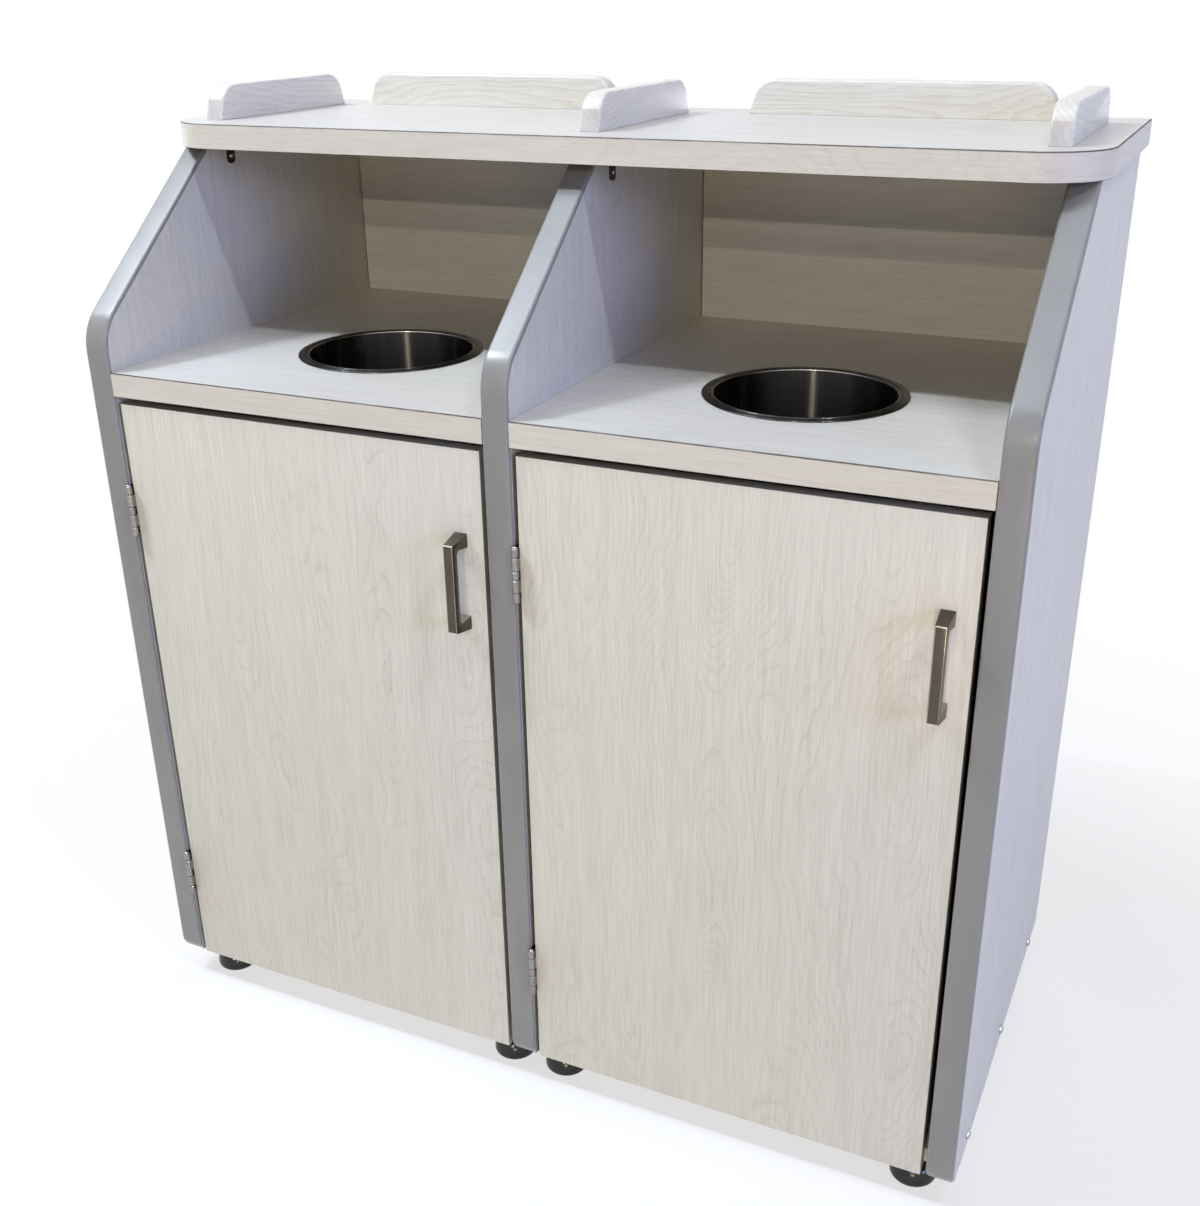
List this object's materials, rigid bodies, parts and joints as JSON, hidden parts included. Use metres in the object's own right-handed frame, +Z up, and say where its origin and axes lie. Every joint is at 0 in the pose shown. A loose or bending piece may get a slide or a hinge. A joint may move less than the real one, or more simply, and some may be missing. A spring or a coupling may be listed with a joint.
{
  "type": "double waste receptacle",
  "caption": "Whitewashed laminate cabinet with open bays for dropping waste through round chutes into bins behind hinged doors, and a top with tray guides.",
  "frame": {"origin": "on the floor under the middle of the plan, handles included", "axes": "+Z up, the doors face -Y, +X to the right as seen from the front"},
  "size_m": [1.121, 0.5922, 1.1906],
  "materials": {
    "laminate": "whitewashed maple-look laminate, satin",
    "solid_wood": "whitewashed solid wood, satin lacquer",
    "moulding": "grey PVC T-moulding, satin",
    "stainless": "polished stainless steel",
    "zinc": "bright zinc-plated steel",
    "nickel": "satin nickel",
    "dark_steel": "dark painted steel",
    "black_plastic": "black moulded plastic, gloss",
    "grey_plastic": "dark grey moulded plastic, satin"
  },
  "bodies": {
    "cabinet": {"top_panel": "laminate", "left_side_panel": "laminate", "centre_divider": "laminate", "right_side_panel": "laminate", "left_edge_moulding": "moulding", "centre_edge_moulding": "moulding", "right_edge_moulding": "moulding", "left_deck": "laminate", "left_back_panel": "laminate", "left_bottom_panel": "laminate", "left_chute_ring": "stainless", "left_tray_guide": "solid_wood", "left_rear_tray_guide": "solid_wood", "left_door_catch": "black_plastic", "left_waste_bin": "grey_plastic", "left_lower_hinge_frame_leaf": "zinc", "left_lower_hinge_pin": "zinc", "left_upper_hinge_frame_leaf": "zinc", "left_upper_hinge_pin": "zinc", "left_front_outer_foot": "black_plastic", "left_front_inner_foot": "black_plastic", "left_rear_outer_foot": "black_plastic", "left_rear_inner_foot": "black_plastic", "left_outer_top_bracket": "dark_steel", "left_inner_top_bracket": "dark_steel", "left_front_bolt": "zinc", "left_middle_bolt": "zinc", "left_rear_bolt": "zinc", "right_deck": "laminate", "right_back_panel": "laminate", "right_bottom_panel": "laminate", "right_chute_ring": "stainless", "right_tray_guide": "solid_wood", "right_rear_tray_guide": "solid_wood", "right_door_catch": "black_plastic", "right_waste_bin": "grey_plastic", "right_lower_hinge_frame_leaf": "zinc", "right_lower_hinge_pin": "zinc", "right_upper_hinge_frame_leaf": "zinc", "right_upper_hinge_pin": "zinc", "right_front_inner_foot": "black_plastic", "right_front_outer_foot": "black_plastic", "right_rear_inner_foot": "black_plastic", "right_rear_outer_foot": "black_plastic", "right_outer_top_bracket": "dark_steel", "right_inner_top_bracket": "dark_steel", "right_front_bolt": "zinc", "right_middle_bolt": "zinc", "right_rear_bolt": "zinc", "centre_tray_guide": "solid_wood"},
    "left_door": {"left_door": "laminate", "left_door_handle": "nickel", "left_strike_plate": "zinc", "left_lower_hinge_door_leaf": "zinc", "left_upper_hinge_door_leaf": "zinc"},
    "right_door": {"right_door": "laminate", "right_door_handle": "nickel", "right_strike_plate": "zinc", "right_lower_hinge_door_leaf": "zinc", "right_upper_hinge_door_leaf": "zinc"}
  },
  "joints": [
    {"name": "left_door_hinge", "type": "hinge", "parent": "cabinet", "child": "left_door", "pos_m": [-0.5175, -0.27066, 0.044], "axis": [0, 0, -1], "range_deg": [0, 170]},
    {"name": "right_door_hinge", "type": "hinge", "parent": "cabinet", "child": "right_door", "pos_m": [0.019, -0.27066, 0.044], "axis": [0, 0, -1], "range_deg": [0, 150]}
  ]
}
